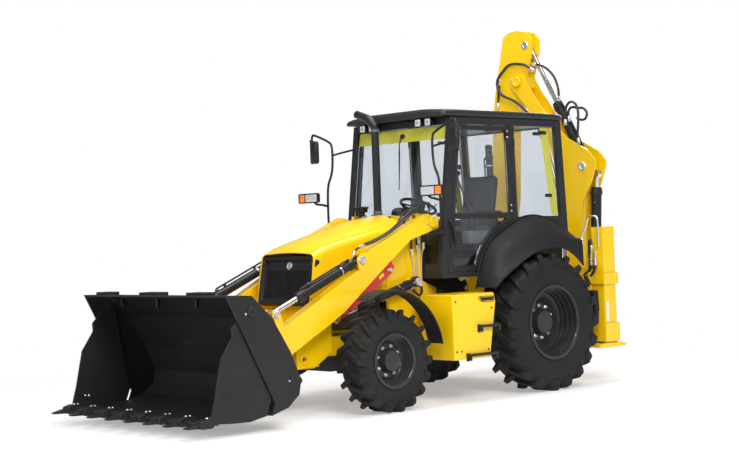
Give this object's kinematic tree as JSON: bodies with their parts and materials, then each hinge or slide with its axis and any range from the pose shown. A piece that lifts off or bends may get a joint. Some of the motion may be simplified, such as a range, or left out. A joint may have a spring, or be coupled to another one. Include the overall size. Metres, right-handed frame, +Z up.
{
  "type": "backhoe loader",
  "caption": "Wheeled backhoe loader with a front loader and clam bucket, side-shift backhoe, vertical stabilisers, cab, and working joints.",
  "frame": {"origin": "on the ground under the middle of the machine's overall length and width", "axes": "+X forward, to the loader bucket; +Y to the machine's left; +Z up"},
  "size_m": [6.4, 2.3262, 3.9749],
  "materials": {
    "yellow_paint": "gloss",
    "black_paint": "satin",
    "dark_casting": "cast",
    "wheel_paint": "satin",
    "tyre_rubber": "matte",
    "black_moulding": "matte",
    "chromed_rod": "polished",
    "red_paint": "gloss",
    "seat_cover": "woven",
    "clear_glass": "clear",
    "lamp_body": "gloss"
  },
  "bodies": {
    "root": {"chassis_frame": "yellow_paint", "powertrain": "dark_casting", "front_axle": "black_paint", "rear_axle": "black_paint", "step_boxes": "yellow_paint", "grille": "black_moulding", "cowl": "yellow_paint", "exhaust_stack": "black_paint", "air_precleaner": "black_moulding", "cab_frame": "black_paint", "cab_glass": "clear_glass", "cab_roof": "black_paint", "rear_fenders": "black_moulding", "operator_seat": "seat_cover", "control_console": "black_moulding", "mirror_arms": "black_paint", "lamps": "lamp_body", "hoe_frame": "yellow_paint"},
    "hood": {"hood": "yellow_paint"},
    "loader_arms": {"loader_arms": "yellow_paint", "safety_strut": "red_paint"},
    "lift_barrels": {"lift_barrels": "black_paint"},
    "lift_rods": {"lift_rods": "chromed_rod"},
    "tilt_barrels": {"tilt_barrels": "black_paint"},
    "tilt_rods": {"tilt_rods": "chromed_rod"},
    "tilt_levers": {"tilt_levers": "yellow_paint"},
    "bucket_links": {"bucket_links": "yellow_paint"},
    "loader_bucket": {"loader_bucket": "black_paint"},
    "bucket_clam": {"bucket_clam": "black_paint"},
    "hoe_carriage": {"hoe_carriage": "yellow_paint"},
    "kingpost": {"kingpost": "yellow_paint"},
    "boom": {"boom": "yellow_paint"},
    "dipper": {"dipper": "yellow_paint"},
    "hoe_bucket": {"hoe_bucket": "black_paint"},
    "hoe_rocker": {"hoe_rocker": "yellow_paint"},
    "hoe_push_link": {"hoe_push_link": "yellow_paint"},
    "boom_ram_barrel": {"boom_ram_barrel": "black_paint"},
    "boom_ram_rod": {"boom_ram_rod": "chromed_rod"},
    "dipper_ram_barrel": {"dipper_ram_barrel": "black_paint"},
    "dipper_ram_rod": {"dipper_ram_rod": "chromed_rod"},
    "hoe_bucket_ram_barrel": {"hoe_bucket_ram_barrel": "black_paint"},
    "hoe_bucket_ram_rod": {"hoe_bucket_ram_rod": "chromed_rod"},
    "door_left": {"door_left": "black_paint", "door_glass_left": "clear_glass"},
    "front_steering_left": {"steering_knuckle_left": "black_paint", "front_fender_left": "black_moulding"},
    "front_wheel_left": {"front_rim_left": "wheel_paint", "front_tyre_left": "tyre_rubber"},
    "rear_wheel_left": {"rear_rim_left": "wheel_paint", "rear_tyre_left": "tyre_rubber"},
    "stabiliser_left": {"stabiliser_leg_left": "yellow_paint"},
    "door_right": {"door_right": "black_paint", "door_glass_right": "clear_glass"},
    "front_steering_right": {"steering_knuckle_right": "black_paint", "front_fender_right": "black_moulding"},
    "front_wheel_right": {"front_rim_right": "wheel_paint", "front_tyre_right": "tyre_rubber"},
    "rear_wheel_right": {"rear_rim_right": "wheel_paint", "rear_tyre_right": "tyre_rubber"},
    "stabiliser_right": {"stabiliser_leg_right": "yellow_paint"}
  },
  "joints": [
    {"name": "steer_left", "type": "hinge", "parent": "root", "child": "front_steering_left", "pos_m": [0.825, 0.7, 0.48], "axis": [0, 0, 1], "range_deg": [-30, 30]},
    {"name": "front_wheel_left_spin", "type": "hinge", "parent": "front_steering_left", "child": "front_wheel_left", "pos_m": [0.825, 0.904, 0.48], "axis": [0, 1, 0], "continuous": true},
    {"name": "rear_wheel_left_spin", "type": "hinge", "parent": "root", "child": "rear_wheel_left", "pos_m": [-1.375, 0.897, 0.702], "axis": [0, 1, 0], "continuous": true},
    {"name": "door_left_hinge", "type": "hinge", "parent": "root", "child": "door_left", "pos_m": [-1.245, 0.738, 1.9], "axis": [0, 0, 1], "range_deg": [0, 70]},
    {"name": "stabiliser_left_slide", "type": "slide", "parent": "root", "child": "stabiliser_left", "axis": [0, 0, -1], "range_m": [0, 0.37]},
    {"name": "steer_right", "type": "hinge", "parent": "root", "child": "front_steering_right", "pos_m": [0.825, -0.7, 0.48], "axis": [0, 0, 1], "range_deg": [-30, 30]},
    {"name": "front_wheel_right_spin", "type": "hinge", "parent": "front_steering_right", "child": "front_wheel_right", "pos_m": [0.825, -0.904, 0.48], "axis": [0, 1, 0], "continuous": true},
    {"name": "rear_wheel_right_spin", "type": "hinge", "parent": "root", "child": "rear_wheel_right", "pos_m": [-1.375, -0.897, 0.702], "axis": [0, 1, 0], "continuous": true},
    {"name": "door_right_hinge", "type": "hinge", "parent": "root", "child": "door_right", "pos_m": [-1.245, -0.738, 1.9], "axis": [0, 0, -1], "range_deg": [0, 70]},
    {"name": "stabiliser_right_slide", "type": "slide", "parent": "root", "child": "stabiliser_right", "axis": [0, 0, -1], "range_m": [0, 0.37]},
    {"name": "hood_hinge", "type": "hinge", "parent": "root", "child": "hood", "pos_m": [0.018, 0, 1.82], "axis": [0, -1, 0], "range_deg": [0, 50]},
    {"name": "loader_lift", "type": "hinge", "parent": "root", "child": "loader_arms", "pos_m": [-0.09, 0, 1.758], "axis": [0, -1, 0], "range_deg": [0, 65]},
    {"name": "lift_barrel_swing", "type": "hinge", "parent": "root", "child": "lift_barrels", "pos_m": [0.043, 0, 1.179], "axis": [0, -1, 0], "range_deg": [-0.02, 63.46]},
    {"name": "lift_rod_slide", "type": "slide", "parent": "lift_barrels", "child": "lift_rods", "axis": [0.9649, 0, -0.2625], "range_m": [-0.005, 0.66]},
    {"name": "bucket_tilt", "type": "hinge", "parent": "loader_arms", "child": "loader_bucket", "pos_m": [1.95, 0, 0.47], "axis": [0, 1, 0], "range_deg": [-40, 95]},
    {"name": "tilt_lever_turn", "type": "hinge", "parent": "loader_arms", "child": "tilt_levers", "pos_m": [1.83, 0, 0.63], "axis": [0, 1, 0], "range_deg": [-29.82, 70.8]},
    {"name": "bucket_link_turn", "type": "hinge", "parent": "tilt_levers", "child": "bucket_links", "pos_m": [1.936, 0, 0.969], "axis": [0, 1, 0], "range_deg": [-48.95, 20.62]},
    {"name": "tilt_barrel_swing", "type": "hinge", "parent": "loader_arms", "child": "tilt_barrels", "pos_m": [0.867, 0, 1.419], "axis": [0, 1, 0], "range_deg": [-2.22, 5.25]},
    {"name": "tilt_rod_slide", "type": "slide", "parent": "tilt_barrels", "child": "tilt_rods", "axis": [0.9217, 0, -0.388], "range_m": [-0.175, 0.405]},
    {"name": "clam_open", "type": "hinge", "parent": "loader_bucket", "child": "bucket_clam", "pos_m": [2.534, 0, 1.032], "axis": [0, -1, 0], "range_deg": [0, 80]},
    {"name": "carriage_shift", "type": "slide", "parent": "root", "child": "hoe_carriage", "axis": [0, -1, 0], "range_m": [-0.15, 0.89]},
    {"name": "hoe_swing", "type": "hinge", "parent": "hoe_carriage", "child": "kingpost", "pos_m": [-2.885, 0.37, 0.75], "axis": [0, 0, -1], "range_deg": [0, 180]},
    {"name": "boom_lower", "type": "hinge", "parent": "kingpost", "child": "boom", "pos_m": [-2.885, 0.14, 0.86], "axis": [1, 0, 0], "range_deg": [0, 110]},
    {"name": "dipper_out", "type": "hinge", "parent": "boom", "child": "dipper", "pos_m": [-2.885, -0.556, 3.374], "axis": [-1, 0, 0], "range_deg": [0, 105]},
    {"name": "hoe_bucket_tilt", "type": "hinge", "parent": "dipper", "child": "hoe_bucket", "pos_m": [-2.885, -0.945, 1.46], "axis": [-1, 0, 0], "range_deg": [0, 115]},
    {"name": "boom_ram_swing", "type": "hinge", "parent": "kingpost", "child": "boom_ram_barrel", "pos_m": [-2.885, 0.42, 1.13], "axis": [1, 0, 0], "range_deg": [-0.02, 107.13]},
    {"name": "boom_ram_slide", "type": "slide", "parent": "boom_ram_barrel", "child": "boom_ram_rod", "axis": [0, 0.0535, 0.9986], "range_m": [-0.005, 0.638]},
    {"name": "dipper_ram_swing", "type": "hinge", "parent": "boom", "child": "dipper_ram_barrel", "pos_m": [-2.885, 0.372, 2.33], "axis": [-1, 0, 0], "range_deg": [-4.22, 0.02]},
    {"name": "dipper_ram_slide", "type": "slide", "parent": "dipper_ram_barrel", "child": "dipper_ram_rod", "axis": [0, -0.4906, 0.8714], "range_m": [-0.68, 0.005]},
    {"name": "hoe_bucket_ram_swing", "type": "hinge", "parent": "dipper", "child": "hoe_bucket_ram_barrel", "pos_m": [-2.885, -1.15, 2.65], "axis": [-1, 0, 0], "range_deg": [-1.17, 0.02]},
    {"name": "hoe_bucket_ram_slide", "type": "slide", "parent": "hoe_bucket_ram_barrel", "child": "hoe_bucket_ram_rod", "axis": [0, 0.0339, -0.9994], "range_m": [-0.42, 0.005]},
    {"name": "hoe_rocker_turn", "type": "hinge", "parent": "dipper", "child": "hoe_rocker", "pos_m": [-2.885, -0.985, 1.69], "axis": [-1, 0, 0], "range_deg": [-0.02, 112.26]},
    {"name": "hoe_push_link_turn", "type": "hinge", "parent": "hoe_rocker", "child": "hoe_push_link", "pos_m": [-2.885, -1.11, 1.47], "axis": [-1, 0, 0], "range_deg": [-117.32, 0.02]}
  ],
  "couplings": [
    {"joint": "steer_right", "follows": "steer_left", "ratio": 1},
    {"joint": "lift_barrel_swing", "follows": "loader_lift", "ratio": 0.976},
    {"joint": "lift_rod_slide", "follows": "loader_lift", "m_per_rad": 0.562},
    {"joint": "tilt_lever_turn", "follows": "bucket_tilt", "ratio": 0.745},
    {"joint": "bucket_link_turn", "follows": "bucket_tilt", "ratio": -0.515},
    {"joint": "tilt_barrel_swing", "follows": "bucket_tilt", "ratio": 0.055},
    {"joint": "tilt_rod_slide", "follows": "bucket_tilt", "m_per_rad": 0.2406},
    {"joint": "boom_ram_swing", "follows": "boom_lower", "ratio": 0.97375},
    {"joint": "boom_ram_slide", "follows": "boom_lower", "m_per_rad": 0.32988},
    {"joint": "dipper_ram_swing", "follows": "dipper_out", "ratio": -0.03998},
    {"joint": "dipper_ram_slide", "follows": "dipper_out", "m_per_rad": -0.36807},
    {"joint": "hoe_bucket_ram_swing", "follows": "hoe_bucket_tilt", "ratio": -0.01},
    {"joint": "hoe_bucket_ram_slide", "follows": "hoe_bucket_tilt", "m_per_rad": -0.207},
    {"joint": "hoe_rocker_turn", "follows": "hoe_bucket_tilt", "ratio": 0.976},
    {"joint": "hoe_push_link_turn", "follows": "hoe_bucket_tilt", "ratio": -1.02}
  ]
}
